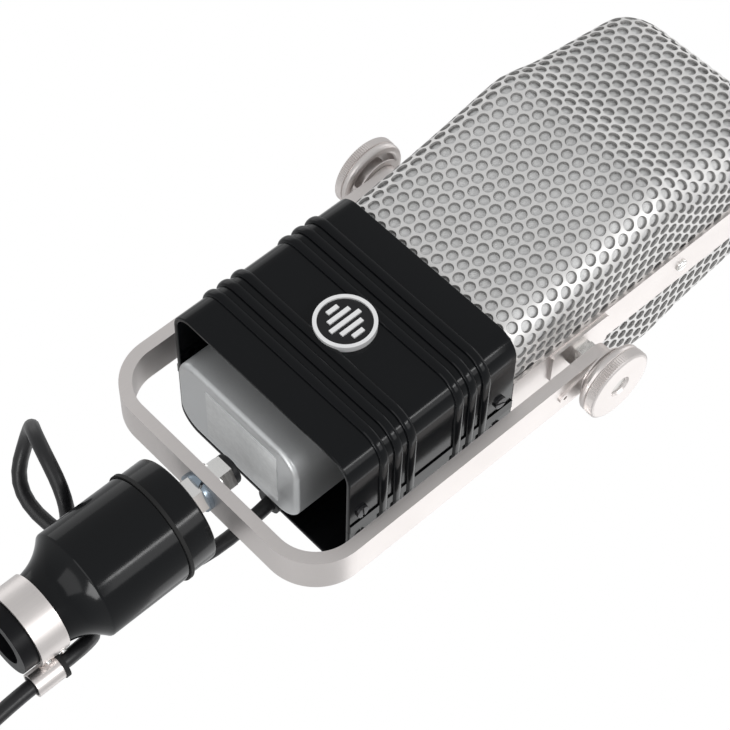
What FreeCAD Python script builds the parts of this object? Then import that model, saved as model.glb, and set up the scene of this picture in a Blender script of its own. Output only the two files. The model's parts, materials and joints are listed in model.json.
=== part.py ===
# Bidirectional ribbon microphone on a yoke and a cushion mount, with its captive lead.
# Millimetres. +Z runs up the microphone, the front faces -Y, and the origin is the mouth
# of the stand thread at the bottom of the cushion mount.
import FreeCAD, Part
import math
import os
import Sketcher
from FreeCAD import Placement, Rotation, Vector

os.makedirs("parts", exist_ok=True)
doc = FreeCAD.newDocument("ribbon_microphone")
sheet = doc.addObject("Spreadsheet::Sheet", "dims")

DIMENSIONS = [
    # cushion mount, stations up the axis and radii
    ("thread_radius", 7.94),
    ("thread_depth", 19.0),
    ("socket_radius", 11.7),
    ("socket_rim", 5.2),
    ("neck_radius", 12.2),
    ("neck_top", 15.6),
    ("shoulder_level", 28.0),
    ("barrel_radius", 18.8),
    ("barrel_top", 57.0),
    ("barrel_bore", 16.4),
    ("cushion_floor", 33.0),
    ("lip_radius", 19.5),
    ("lip_top", 58.2),
    ("cap_radius", 18.5),
    ("cap_top", 68.0),
    ("cap_hole", 5.4),
    ("band_radius", 13.2),
    ("band_low", 5.3),
    ("band_high", 15.5),
    ("stud_radius", 4.0),
    ("stud_foot", 36.0),
    ("stud_top", 88.6),
    ("flange_radius", 10.0),
    ("flange_low", 40.0),
    ("flange_high", 44.0),
    # clamped stack on the stud
    ("lower_nut_height", 7.2),
    ("lower_nut_flats", 11.6),
    ("spring_washer_height", 1.9),
    ("spring_washer_radius", 6.8),
    ("upper_washer_height", 1.0),
    ("upper_washer_radius", 6.5),
    ("upper_nut_height", 4.8),
    ("upper_nut_flats", 10.6),
    ("lock_ring_height", 2.4),
    ("lock_ring_radius", 5.3),
    # yoke
    ("yoke_bottom", 77.1),
    ("yoke_thickness", 4.3),
    ("yoke_width", 14.0),
    ("yoke_half_span", 50.8),
    ("yoke_bend", 18.6),
    ("pivot_level", 200.5),
    ("pivot_radius", 3.0),
    ("pivot_hole", 3.05),
    # clamp knobs, along the pivot axis
    ("knob_radius", 13.1),
    ("knob_inner", 52.85),
    ("knob_length", 7.45),
    ("knob_hub", 5.6),
    ("knob_recess", 4.0),
    # black shell
    ("shell_width", 80.7),
    ("shell_depth", 61.9),
    ("shell_corner", 8.5),
    ("shell_bottom", 101.9),
    ("shell_height", 70.0),
    ("shell_wall", 1.6),
    ("seam_offset", 4.0),
    ("rib_height", 1.2),
    ("rib_width", 3.6),
    ("rib_pitch", 5.7),
    ("lower_ribs", 115.8),
    ("upper_ribs", 147.0),
    ("badge_level", 137.0),
    ("badge_radius", 10.1),
    # grille
    ("grille_half_width", 39.1),
    ("grille_top", 303.8),
    ("grille_corner", 12.0),
    ("grille_sheet", 1.0),
    ("crease_level", 240.0),
    ("crease_half_depth", 40.6),
    ("top_corner", 11.0),
    ("strap_half_width", 8.0),
    ("strap_thickness", 1.2),
    # transformer can
    ("can_left", -34.0),
    ("can_right", 22.0),
    ("can_half_depth", 17.0),
    ("can_bottom", 97.0),
    ("can_top", 140.0),
    ("can_corner", 9.0),
    # ribbon motor
    ("ribbon_width", 4.7),
    ("ribbon_low", 200.0),
    ("ribbon_length", 60.0),
    ("ribbon_sheet", 0.1),
    ("pole_gap", 5.4),
    # lead
    ("lead_diameter", 5.1),
    ("coil_radius", 30.0),
    ("coil_section", 11.5),
    ("coil_reach", 66.0),
    ("coil_level", -108.0),
]
for row, (alias, value) in enumerate(DIMENSIONS, start=1):
    sheet.set("A%d" % row, alias)
    sheet.set("B%d" % row, str(value))
    sheet.setAlias("B%d" % row, alias)
doc.recompute()

pieces = []


def size(name):
    """A number, or the sheet's value for a name."""
    return float(sheet.get(name)) if isinstance(name, str) else float(name)


def feature(label, shape, placement=None):
    """A piece whose shape is made here from the sheet's sizes."""
    obj = doc.addObject("Part::Feature", label)
    obj.Shape = shape
    obj.Placement = placement if placement else shape.Placement
    pieces.append(obj)
    return obj


def solid_group(label, shapes):
    """Several separate solids that share one node."""
    return feature(label, Part.makeCompound(shapes))


def new_body(label):
    body = doc.addObject("PartDesign::Body", label)
    pieces.append(body)
    return body


def base_plane(body, role):
    return [item for item in body.Origin.OriginFeatures if item.Role == role][0]


def new_sketch(body, name, role):
    sketch = body.newObject("Sketcher::SketchObject", name)
    sketch.AttachmentSupport = [(base_plane(body, role), "")]
    sketch.MapMode = "FlatFace"
    return sketch


def bind(sketch, kind, item, at, alias):
    """Fix one coordinate of a sketch point, and bind it when it is named on the sheet."""
    value = size(alias)
    if abs(value) < 1e-9:
        axis = -2 if kind == "DistanceX" else -1
        sketch.addConstraint(Sketcher.Constraint("PointOnObject", item, at, axis))
        return
    sketch.addConstraint(Sketcher.Constraint(kind, -1, 1, item, at, value))
    if isinstance(alias, str):
        index = sketch.ConstraintCount - 1
        sketch.setExpression("Constraints[%d]" % index, "dims." + alias)


def draw_outline(sketch, corners):
    """A closed outline of straight lines through named or numbered corners."""
    count = len(corners)
    points = [Vector(size(u), size(v), 0) for u, v in corners]
    first = sketch.GeometryCount
    for i in range(count):
        sketch.addGeometry(Part.LineSegment(points[i], points[(i + 1) % count]), False)
    for i in range(count):
        here, after = first + i, first + (i + 1) % count
        sketch.addConstraint(Sketcher.Constraint("Coincident", here, 2, after, 1))
    for i, (u, v) in enumerate(corners):
        bind(sketch, "DistanceX", first + i, 1, u)
        bind(sketch, "DistanceY", first + i, 1, v)


def draw_circle(sketch, radius):
    circle = Part.Circle(Vector(0, 0, 0), Vector(0, 0, 1), size(radius))
    item = sketch.addGeometry(circle, False)
    sketch.addConstraint(Sketcher.Constraint("Coincident", item, 3, -1, 1))
    sketch.addConstraint(Sketcher.Constraint("Radius", item, size(radius)))
    if isinstance(radius, str):
        index = sketch.ConstraintCount - 1
        sketch.setExpression("Constraints[%d]" % index, "dims." + radius)


def lathe(label, profile, placement=None):
    """A turned piece: a half section revolved about its own Z axis."""
    body = new_body(label)
    sketch = new_sketch(body, label + "_section", "XZ_Plane")
    draw_outline(sketch, profile)
    turned = body.newObject("PartDesign::Revolution", label + "_turned")
    turned.Profile = sketch
    turned.ReferenceAxis = (sketch, ["V_Axis"])
    turned.Angle = 360.0
    sketch.Visibility = False
    if placement:
        body.Placement = placement
    return body


def stacked(label, low, height, outer, inner=None, flats=None):
    """A washer or nut on the mount's axis: a flat outline and its hole, padded upward."""
    body = new_body(label)
    sketch = new_sketch(body, label + "_outline", "XY_Plane")
    if flats:
        reach = size(flats) / math.sqrt(3)
        corners = [
            (reach * math.cos(math.radians(60 * i)), reach * math.sin(math.radians(60 * i)))
            for i in range(6)
        ]
        draw_outline(sketch, corners)
    else:
        draw_circle(sketch, outer)
    if inner:
        draw_circle(sketch, inner)
    pad = body.newObject("PartDesign::Pad", label + "_pad")
    pad.Profile = sketch
    pad.Length = size(height)
    if isinstance(height, str):
        pad.setExpression("Length", "dims." + height)
    sketch.Visibility = False
    body.Placement = Placement(Vector(0, 0, low), Rotation())
    return body


def rounded_rectangle(half_width, half_depth, corner, level):
    """A closed wire: a rectangle with round corners, flat at one level."""
    x, y, r = half_width, half_depth, corner
    edges = []
    for i, (sx, sy) in enumerate([(1, 1), (-1, 1), (-1, -1), (1, -1)]):
        centre = Vector(sx * (x - r), sy * (y - r), level)
        circle = Part.Circle(centre, Vector(0, 0, 1), r)
        start = math.radians(90 * i)
        edges.append(Part.Arc(circle, start, start + math.pi / 2).toShape())
        if sx * sy > 0:
            side = (Vector(-sx * (x - r), sy * y, level), Vector(sx * (x - r), sy * y, level))
        else:
            side = (Vector(sx * x, -sy * (y - r), level), Vector(sx * x, sy * (y - r), level))
        edges.append(Part.makeLine(*side))
    return Part.Wire(Part.__sortEdges__(edges))


def rounded_block(half_width, half_depth, corner, low, high):
    wire = rounded_rectangle(half_width, half_depth, corner, low)
    return Part.Face(wire).extrude(Vector(0, 0, high - low))


def box(x0, x1, y0, y1, z0, z1):
    return Part.makeBox(x1 - x0, y1 - y0, z1 - z0, Vector(x0, y0, z0))


def rod(radius, start, end):
    axis = Vector(*end) - Vector(*start)
    return Part.makeCylinder(radius, axis.Length, Vector(*start), axis)


def both_sides(shape):
    """The shape and its mirror image about the plane between left and right."""
    return [shape, shape.mirror(Vector(0, 0, 0), Vector(1, 0, 0))]


# ---------------------------------------------------------------- cushion mount
lathe(
    "stand_socket",
    [
        ("thread_radius", 0),
        ("socket_radius", 0),
        ("socket_radius", "socket_rim"),
        (10.4, "socket_rim"),
        (10.4, 24.0),
        (3.0, 24.0),
        (3.0, "thread_depth"),
        ("thread_radius", "thread_depth"),
    ],
)

wall = [("neck_radius", "neck_top")]
for x, z in [(12.6, 17.6), (13.2, 19.8), (14.0, 21.8), (15.0, 23.6), (16.2, 25.2), (17.5, 26.8)]:
    wall.append((x, z))
barrel_profile = [(10.4, "socket_rim"), ("neck_radius", "socket_rim")] + wall
barrel_profile += [
    ("barrel_radius", "shoulder_level"),
    ("barrel_radius", "barrel_top"),
    ("barrel_bore", "barrel_top"),
    ("barrel_bore", "cushion_floor"),
    (7.0, "cushion_floor"),
    (7.0, 24.0),
    (10.4, 24.0),
]
lathe("mount_barrel", barrel_profile)

lathe(
    "rubber_cushion",
    [
        (6.5, "cushion_floor"),
        ("barrel_bore", "cushion_floor"),
        ("barrel_bore", "barrel_top"),
        ("lip_radius", "barrel_top"),
        ("lip_radius", "lip_top"),
        ("cap_hole", "lip_top"),
        ("cap_hole", 50.0),
        ("stud_radius", 50.0),
        ("stud_radius", "flange_high"),
        ("flange_radius", "flange_high"),
        ("flange_radius", "flange_low"),
        (6.5, "flange_low"),
    ],
)
lathe(
    "mount_cap",
    [
        ("cap_hole", "lip_top"),
        ("cap_radius", "lip_top"),
        ("cap_radius", 67.2),
        (17.7, "cap_top"),
        ("cap_hole", "cap_top"),
    ],
)
lathe(
    "mount_stud",
    [
        (0, "stud_foot"),
        (6.5, "stud_foot"),
        (6.5, "flange_low"),
        ("flange_radius", "flange_low"),
        ("flange_radius", "flange_high"),
        ("stud_radius", "flange_high"),
        ("stud_radius", "stud_top"),
        (0, "stud_top"),
    ],
)

# Split strap round the neck, and the sleeve that holds the lead beside it.
clip_angle = math.radians(45)
clip_reach = size("band_radius") + 3.8
clip_x = clip_reach * math.cos(clip_angle)
clip_y = clip_reach * math.sin(clip_angle)
band_low, band_high = size("band_low"), size("band_high")
strap = Part.makeCylinder(size("band_radius"), band_high - band_low, Vector(0, 0, band_low))
strap = strap.cut(Part.makeCylinder(size("neck_radius"), 40, Vector(0, 0, -5)))
feature("neck_band", strap)

lead_r = size("lead_diameter") / 2
clip_low, clip_high = 0.8, 10.6
sleeve = Part.makeCylinder(4.1, clip_high - clip_low, Vector(clip_x, clip_y, clip_low))
sleeve = sleeve.cut(Part.makeCylinder(3.5, 40, Vector(clip_x, clip_y, -5)))
sleeve = sleeve.cut(Part.makeCylinder(size("band_radius"), 40, Vector(0, 0, -5)))
feature("cable_clip", sleeve)
liner = Part.makeCylinder(3.5, clip_high - clip_low, Vector(clip_x, clip_y, clip_low))
liner = liner.fuse(Part.makeCylinder(4.5, 1.5, Vector(clip_x, clip_y, clip_high)))
liner = liner.cut(Part.makeCylinder(lead_r, 40, Vector(clip_x, clip_y, -5)))
liner = liner.cut(Part.makeCylinder(size("band_radius"), 40, Vector(0, 0, -5)))
feature("clip_liner", liner.removeSplitter())
screws = []
for turn in (-24, 24):
    angle = clip_angle + math.radians(turn)
    out = Vector(math.cos(angle), math.sin(angle), 0)
    for level in (7.6, 13.2):
        at = out * size("band_radius") + Vector(0, 0, level)
        screws.append(Part.makeCylinder(0.9, 0.7, at, out))
solid_group("clip_rivets", screws)

# ---------------------------------------------------------------- stack on the stud
nut_low = size("cap_top")
washer_low = nut_low + size("lower_nut_height")
stacked("lower_hex_nut", nut_low, "lower_nut_height", None, "stud_radius", "lower_nut_flats")
split = Part.makeCylinder(size("spring_washer_radius"), size("spring_washer_height"))
split = split.cut(Part.makeCylinder(size("stud_radius"), 10, Vector(0, 0, -2)))
gap = box(0, 12, -0.5, 0.5, -3, 6)
gap.rotate(Vector(0, 0, 0), Vector(1, 0, 0), 25)
gap.rotate(Vector(0, 0, 0), Vector(0, 0, 1), -70)
feature("split_lock_washer", split.cut(gap), Placement(Vector(0, 0, washer_low), Rotation()))
yoke_floor = size("yoke_bottom") + size("yoke_thickness")
stacked("upper_washer", yoke_floor, "upper_washer_height", "upper_washer_radius", "stud_radius")
upper_nut_low = yoke_floor + size("upper_washer_height")
stacked("upper_hex_nut", upper_nut_low, "upper_nut_height", None, "stud_radius", "upper_nut_flats")
ring_low = upper_nut_low + size("upper_nut_height")
ring = Part.makeCylinder(size("lock_ring_radius"), size("lock_ring_height"), Vector(0, 0, ring_low))
top_edges = [e for e in ring.Edges if e.BoundBox.ZMin > ring_low + size("lock_ring_height") - 0.01]
ring = ring.makeFillet(0.9, top_edges)
ring = ring.cut(Part.makeCylinder(size("stud_radius"), 40, Vector(0, 0, 60)))
feature("stud_lock_ring", ring)

# ---------------------------------------------------------------- yoke
span, bend = size("yoke_half_span"), size("yoke_bend")
floor, thick = size("yoke_bottom"), size("yoke_thickness")
half_width = size("yoke_width") / 2
pivot = size("pivot_level")


def yoke_outline(inset):
    """The U of the yoke seen from the front, as a closed wire up to above the pivots."""
    x, z, r, top = span - inset, floor + inset, bend - inset, pivot + 20
    s = r * math.sqrt(0.5)
    left = Vector(-x + r, 0, z + r)
    right = Vector(x - r, 0, z + r)
    edges = [
        Part.makeLine(Vector(-x, 0, top), Vector(-x, 0, z + r)),
        Part.Arc(Vector(-x, 0, z + r), left + Vector(-s, 0, -s), Vector(-x + r, 0, z)).toShape(),
        Part.makeLine(Vector(-x + r, 0, z), Vector(x - r, 0, z)),
        Part.Arc(Vector(x - r, 0, z), right + Vector(s, 0, -s), Vector(x, 0, z + r)).toShape(),
        Part.makeLine(Vector(x, 0, z + r), Vector(x, 0, top)),
        Part.makeLine(Vector(x, 0, top), Vector(-x, 0, top)),
    ]
    return Part.Face(Part.Wire(edges))


bar = yoke_outline(0).extrude(Vector(0, 2 * half_width, 0))
bar = bar.cut(yoke_outline(thick).extrude(Vector(0, 2 * half_width, 0)))
bar.translate(Vector(0, -half_width, 0))
ends = box(-80, 80, -20, 20, 0, pivot).fuse(rod(half_width, (-80, 0, pivot), (80, 0, pivot)))
bar = bar.common(ends)
bar = bar.cut(rod(size("pivot_hole"), (-80, 0, pivot), (80, 0, pivot)))
bar = bar.cut(rod(size("stud_radius"), (0, 0, floor - 5), (0, 0, floor + 10)))
feature("yoke", bar.removeSplitter())


def friction_plate():
    """Teardrop plate keyed to the outside of a yoke arm, under the knob."""
    plate = Part.makeCylinder(half_width, 0.8, Vector(0, 0, 0), Vector(1, 0, 0))
    tail = Part.makePolygon(
        [
            Vector(0, -6.6, -2.4),
            Vector(0, -2.2, -16.0),
            Vector(0, 2.2, -16.0),
            Vector(0, 6.6, -2.4),
            Vector(0, -6.6, -2.4),
        ]
    )
    plate = plate.fuse(Part.Face(tail).extrude(Vector(0.8, 0, 0)))
    plate = plate.fuse(Part.makeCylinder(2.2, 0.8, Vector(0, 0, -16.0), Vector(1, 0, 0)))
    plate = plate.cut(Part.makeCylinder(size("pivot_hole"), 4, Vector(-1, 0, 0), Vector(1, 0, 0)))
    plate = plate.cut(Part.makeCylinder(0.8, 4, Vector(-1, 0, -16.0), Vector(1, 0, 0)))
    plate.translate(Vector(span, 0, pivot))
    return plate.removeSplitter()


solid_group("friction_plates", both_sides(friction_plate()))

# ---------------------------------------------------------------- clamp knobs
TEETH = 96


def knob_shape():
    """A dished knob turned about X: a hub and a rounded lip toward the yoke, a knurled outer edge."""
    radius, length = size("knob_radius"), size("knob_length")
    rim = []
    for i in range(2 * TEETH):
        angle = math.pi * i / TEETH
        reach = radius if i % 2 else radius - 0.38
        rim.append(Vector(0, reach * math.cos(angle), reach * math.sin(angle)))
    rim.append(rim[0])
    knurled = Part.Face(Part.makePolygon(rim)).extrude(Vector(length, 0, 0))
    lip = Part.makeCylinder(radius + 0.2, 4.1, Vector(0, 0, 0), Vector(1, 0, 0))
    half = [
        (0.0, size("knob_hub")),
        (4.4, size("knob_hub") + 0.8),
        (4.4, 9.2),
        (1.9, 9.9),
        (1.35, 10.4),
        (1.15, 11.1),
        (1.2, 11.9),
        (1.5, 12.5),
        (2.1, 12.9),
        (2.8, 13.0),
        (3.6, 12.9),
        (3.9, 12.5),
        (4.1, 12.5),
        (4.3, radius + 0.1),
        (length - 0.7, radius + 0.1),
        (length - 0.2, radius - 0.6),
        (length, radius - 1.2),
        (length, size("knob_recess")),
        (length - 0.7, size("knob_recess") - 0.5),
        (length - 0.9, size("pivot_hole")),
        (0.0, size("pivot_hole")),
    ]
    points = [Vector(x, 0, r) for x, r in half]
    points.append(points[0])
    blank = Part.Face(Part.makePolygon(points)).revolve(Vector(0, 0, 0), Vector(1, 0, 0), 360)
    return blank.common(knurled.fuse(lip))


knob = knob_shape()
at_right = Placement(Vector(size("knob_inner"), 0, pivot), Rotation())
at_left = Placement(Vector(-size("knob_inner"), 0, pivot), Rotation(Vector(0, 0, 1), 180))
feature("knob_right", knob.copy(), at_right)
feature("knob_left", knob.copy(), at_left)

# ---------------------------------------------------------------- pivots on the head
half_grille = size("grille_half_width")
strap_out = half_grille + size("strap_thickness")


def along_x(radius, x0, x1, hole=None):
    shape = rod(radius, (x0, 0, pivot), (x1, 0, pivot))
    return shape.cut(rod(hole, (x0 - 1, 0, pivot), (x1 + 1, 0, pivot))) if hole else shape


def hex_spacer(x0, x1, flats):
    reach = flats / math.sqrt(3)
    corners = []
    for i in range(7):
        angle = math.radians(60 * i + 30)
        corners.append(Vector(x0, reach * math.cos(angle), pivot + reach * math.sin(angle)))
    shape = Part.Face(Part.makePolygon(corners)).extrude(Vector(x1 - x0, 0, 0))
    return shape.cut(rod(size("pivot_radius"), (x0 - 1, 0, pivot), (x1 + 1, 0, pivot)))


bracket = box(strap_out, strap_out + 1.3, -7.2, 7.2, pivot - 12, pivot + 14)
corners = [e for e in bracket.Edges if abs(e.BoundBox.XLength - 1.3) < 0.01]
bracket = bracket.makeFillet(2.0, corners)
bracket = bracket.cut(along_x(size("pivot_radius"), 30, 60))
inner_nut = hex_spacer(strap_out + 1.3, 44.0, 9.6)
outer_nut = hex_spacer(44.0, 46.4, 10.4)
wide_washer = along_x(9.2, 51.7, 52.2, size("pivot_radius"))
narrow_washer = along_x(8.0, 52.25, 52.8, size("pivot_radius"))
stud = along_x(size("pivot_radius"), 29.8, 59.3)
stud = stud.fuse(along_x(5.4, 29.8, 32.9)).removeSplitter()
solid_group("pivot_brackets", both_sides(bracket))
solid_group("pivot_inner_nuts", both_sides(inner_nut))
solid_group("pivot_outer_nuts", both_sides(outer_nut))
solid_group("pivot_washers", both_sides(wide_washer) + both_sides(narrow_washer))
solid_group("pivot_studs", both_sides(stud))

# ---------------------------------------------------------------- black shell
shell_x, shell_y = size("shell_width") / 2, size("shell_depth") / 2
shell_r = size("shell_corner")
shell_low = size("shell_bottom")
shell_high = shell_low + size("shell_height")
outer = rounded_block(shell_x, shell_y, shell_r, shell_low, shell_high)
rib_out, rib_half = size("rib_height"), size("rib_width") / 2
for start in (size("lower_ribs"), size("upper_ribs")):
    for i in range(3):
        level = start + i * size("rib_pitch")
        rib = rounded_block(
            shell_x + rib_out, shell_y + rib_out, shell_r + rib_out, level - rib_half, level + rib_half
        )
        rims = [e for e in rib.Edges if e.BoundBox.ZLength < 0.01]
        outer = outer.fuse(rib.makeFillet(rib_out - 0.05, rims))
seam = size("seam_offset")
for side in (-1, 1):
    x0, x1 = sorted((side * (shell_x - 1), side * (shell_x + 0.5)))
    outer = outer.fuse(box(x0, x1, 0.0, seam, shell_low, shell_high))
wall_thick = size("shell_wall")
hollow = rounded_block(
    shell_x - wall_thick, shell_y - wall_thick, shell_r - wall_thick, shell_low - 5, shell_high + 5
)
shell = outer.cut(hollow)
screw_spots = []
for side in (-1, 1):
    for y, zs in ((-4.4, (107.0, 165.8)), (10.4, (107.0, 165.8))):
        for z in zs:
            screw_spots.append((side, y, z))
heads = []
for side, y, z in screw_spots:
    shank = rod(1.3, (side * (shell_x - wall_thick), y, z), (side * (shell_x + 0.05), y, z))
    head = rod(2.3, (side * shell_x, y, z), (side * (shell_x + 0.95), y, z))
    slot = box(shell_x + 0.55, shell_x + 2, -0.35, 0.35, -4, 4)
    slot.rotate(Vector(0, 0, 0), Vector(1, 0, 0), 35 + 11 * y + z)
    if side < 0:
        slot = slot.mirror(Vector(0, 0, 0), Vector(1, 0, 0))
    slot.translate(Vector(0, y, z))
    whole = shank.fuse(head)
    shell = shell.cut(whole)
    heads.append(whole.cut(slot).removeSplitter())
badge_r, badge_z = size("badge_radius"), size("badge_level")
shell = shell.cut(rod(badge_r, (0, -shell_y, badge_z), (0, -shell_y - 6, badge_z)))
front_side = box(-60, 60, -60, seam - 0.1, 60, 200)
rear_side = box(-60, 60, seam + 0.1, 60, 60, 200)
feature("shell_front", shell.common(front_side).removeSplitter())
feature("shell_rear", shell.common(rear_side).removeSplitter())
solid_group("shell_screws", heads)

# Round badge: a rim, a dark field and a plain raised wave of bars.
face_y = -shell_y - rib_out
rim = rod(badge_r, (0, -shell_y, badge_z), (0, face_y - 1.1, badge_z))
rim = rim.cut(rod(badge_r - 1.3, (0, -shell_y + 1, badge_z), (0, face_y - 2, badge_z)))
feature("badge_rim", rim)
badge_field = rod(badge_r - 1.3, (0, -shell_y, badge_z), (0, face_y - 0.4, badge_z))
feature("badge_field", badge_field)
bars = []
for i, tall in enumerate((2.2, 4.4, 6.2, 4.4, 2.2)):
    x = (i - 2) * 2.9
    bars.append(box(x - 0.75, x + 0.75, face_y - 1.0, face_y - 0.4, badge_z - tall, badge_z + tall))
solid_group("badge_bars", bars)

# ---------------------------------------------------------------- grille
def half_depth_at(level):
    """The grille's half depth: it flares to the crease, then leans back to the top."""
    stations = [
        (160.0, 29.1),
        (172.0, 29.2),
        (186.0, 30.9),
        (200.0, 33.0),
        (214.0, 35.6),
        (226.0, 38.2),
        (235.0, 40.1),
        (size("crease_level"), size("crease_half_depth")),
        (245.0, 39.6),
        (256.0, 36.0),
        (272.0, 33.2),
        (292.8, 29.6),
    ]
    for (z0, y0), (z1, y1) in zip(stations, stations[1:]):
        if level <= z1:
            return y0 + (y1 - y0) * (level - z0) / (z1 - z0)
    return stations[-1][1]


def dome(inset):
    """A closed solid of the grille's outside, inset by a sheet thickness."""
    corner = size("grille_corner") - inset
    wires = []
    for level in (166.0, 171.8, 173.4, 186, 200, 214, 226, 235, 240, 245, 256, 272, 292.8):
        x = (38.6 if level < 172 else half_grille) - inset
        wires.append(rounded_rectangle(x, half_depth_at(level) - inset, corner, level))
    lean = (0.9, 2.4, 4.2, 7.0)
    top_r = size("top_corner")
    for i, back in enumerate(lean, start=1):
        angle = math.radians(22.5 * i)
        x = half_grille - top_r + (top_r - inset) * math.cos(angle)
        z = size("grille_top") - top_r + (top_r - inset) * math.sin(angle)
        wires.append(rounded_rectangle(x, half_depth_at(292.8) - back - inset, corner, z))
    return Part.makeLoft(wires, True, True)


sheet_t = size("grille_sheet")
grille = dome(0).cut(dome(sheet_t))
pivot_way = rod(3.2, (-60, 0, pivot), (60, 0, pivot))
grille = grille.cut(pivot_way)
liner_shell = dome(1.25).cut(dome(1.6)).cut(pivot_way)
front_half = box(-70, 70, -70, -0.05, 160, 320)
rear_half = box(-70, 70, 0.05, 70, 160, 320)
feature("grille_front", grille.common(front_half))
feature("grille_rear", grille.common(rear_half))
feature("inner_screen_front", liner_shell.common(front_half))
feature("inner_screen_rear", liner_shell.common(rear_half))

strap_t, strap_w = size("strap_thickness"), size("strap_half_width")


def strap_outline(grow):
    """The strap's path seen from the front, as a closed face."""
    x, r = half_grille + 0.03 + grow, size("top_corner") + 0.03 + grow
    top = size("grille_top") + 0.03 + grow
    s = r * math.sqrt(0.5)
    cx, cz = x - r, top - r
    low = shell_high + 0.1
    edges = [
        Part.makeLine(Vector(-x, 0, low), Vector(-x, 0, cz)),
        Part.Arc(Vector(-x, 0, cz), Vector(-cx - s, 0, cz + s), Vector(-cx, 0, top)).toShape(),
        Part.makeLine(Vector(-cx, 0, top), Vector(cx, 0, top)),
        Part.Arc(Vector(cx, 0, top), Vector(cx + s, 0, cz + s), Vector(x, 0, cz)).toShape(),
        Part.makeLine(Vector(x, 0, cz), Vector(x, 0, low)),
        Part.makeLine(Vector(x, 0, low), Vector(-x, 0, low)),
    ]
    return Part.Face(Part.Wire(edges))


head_strap = strap_outline(strap_t - 0.03).extrude(Vector(0, 2 * strap_w, 0))
head_strap = head_strap.cut(strap_outline(0).extrude(Vector(0, 2 * strap_w, 0)))
head_strap.translate(Vector(0, -strap_w, 0))
head_strap = head_strap.cut(pivot_way)
feature("head_strap", head_strap.removeSplitter())
screw = rod(2.3, (strap_out, 0, pivot + 50), (strap_out + 1.0, 0, pivot + 50))
screw = screw.makeFillet(0.7, [e for e in screw.Edges if e.BoundBox.XMin > strap_out + 0.9])
screw = screw.cut(box(strap_out + 0.5, 50, -0.3, 0.3, pivot + 40, pivot + 60))
solid_group("strap_screws", both_sides(screw))

# ---------------------------------------------------------------- inside the grille
feature("chassis_plate", rounded_block(38.7, 29.3, 6.8, 162.0, 165.0))
rail = box(33.0, 35.4, -8, 8, 165.0, 267.0)
rail = rail.cut(rod(size("pivot_radius"), (20, 0, pivot), (60, 0, pivot)))
left_rail = rail.mirror(Vector(0, 0, 0), Vector(1, 0, 0))
top_bar = box(-35.4, 35.4, -8, 8, 264.5, 267.0)
feature("motor_frame", rail.fuse(left_rail).fuse(top_bar).removeSplitter())
magnet = box(-29, 29, -17, 17, 165.0, 260.0).cut(box(-18.5, 18.5, -20, 20, 184.0, 270.0))
heel = [e for e in magnet.Edges if e.BoundBox.ZMax < 165.1 and e.BoundBox.YLength > 20]
feature("magnet", magnet.makeFillet(6.0, heel))
gap_half = size("pole_gap") / 2
pole = Part.makePolygon(
    [
        Vector(gap_half, -3, 0),
        Vector(gap_half, 3, 0),
        Vector(18.5, 15, 0),
        Vector(18.5, -15, 0),
        Vector(gap_half, -3, 0),
    ]
)
pole = Part.Face(pole).extrude(Vector(0, 0, 62.0))
pole.translate(Vector(0, 0, 199.0))
right_pole, left_pole = both_sides(pole)
feature("pole_piece_right", right_pole)
feature("pole_piece_left", left_pole)
ribbon_low, ribbon_long = size("ribbon_low"), size("ribbon_length")
ribbon_half, ribbon_t = size("ribbon_width") / 2, size("ribbon_sheet")
ribbon = box(
    -ribbon_half, ribbon_half, -ribbon_t / 2, ribbon_t / 2, ribbon_low - 3, ribbon_low + ribbon_long + 3
)
feature("ribbon", ribbon)
for label, low, high in [("ribbon_clamp_bottom", 184.0, 198.6), ("ribbon_clamp_top", 261.4, 264.5)]:
    feature(label, box(-7, 7, -4, 4, low, high).cut(ribbon))

# ---------------------------------------------------------------- transformer and cable entry
can_x0, can_x1 = size("can_left"), size("can_right")
can_mid, can_half = (can_x0 + can_x1) / 2, (can_x1 - can_x0) / 2
can_y, can_low, can_high = size("can_half_depth"), size("can_bottom"), size("can_top")
can_r = size("can_corner")
can = rounded_block(can_half, can_y, can_r, can_low, can_high)
bottom_rim = [e for e in can.Edges if e.BoundBox.ZMax < can_low + 0.01]
can = can.makeFillet(1.6, bottom_rim)
can = can.cut(rounded_block(can_half - 0.8, can_y - 0.8, can_r - 0.8, can_low + 0.8, can_high - 0.8))
can.translate(Vector(can_mid, 0, 0))
feature("transformer_can", can)
core = box(-18, 18, -14, 14, can_low + 0.8, can_high - 0.8)
for x in (-13, 5):
    core = core.cut(box(x, x + 8, -20, 20, can_low + 9, can_high - 9))
core.translate(Vector(can_mid, 0, 0))
feature("transformer_core", core)
coil = rounded_block(12.6, 15.2, 4.0, can_low + 9.5, can_high - 9.5)
coil = coil.cut(box(-5, 5, -14, 14, 0, 200))
coil.translate(Vector(can_mid, 0, 0))
feature("transformer_coil", coil)
feature("can_label", box(-20, 13, -12.2, 12.2, can_low - 0.25, can_low))
posts = []
for x in (can_x0 + 9, can_x1 - 9):
    for y in (-9, 9):
        posts.append(rod(2.5, (x, y, can_high), (x, y, 162.0)))
solid_group("can_posts", posts)

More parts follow.
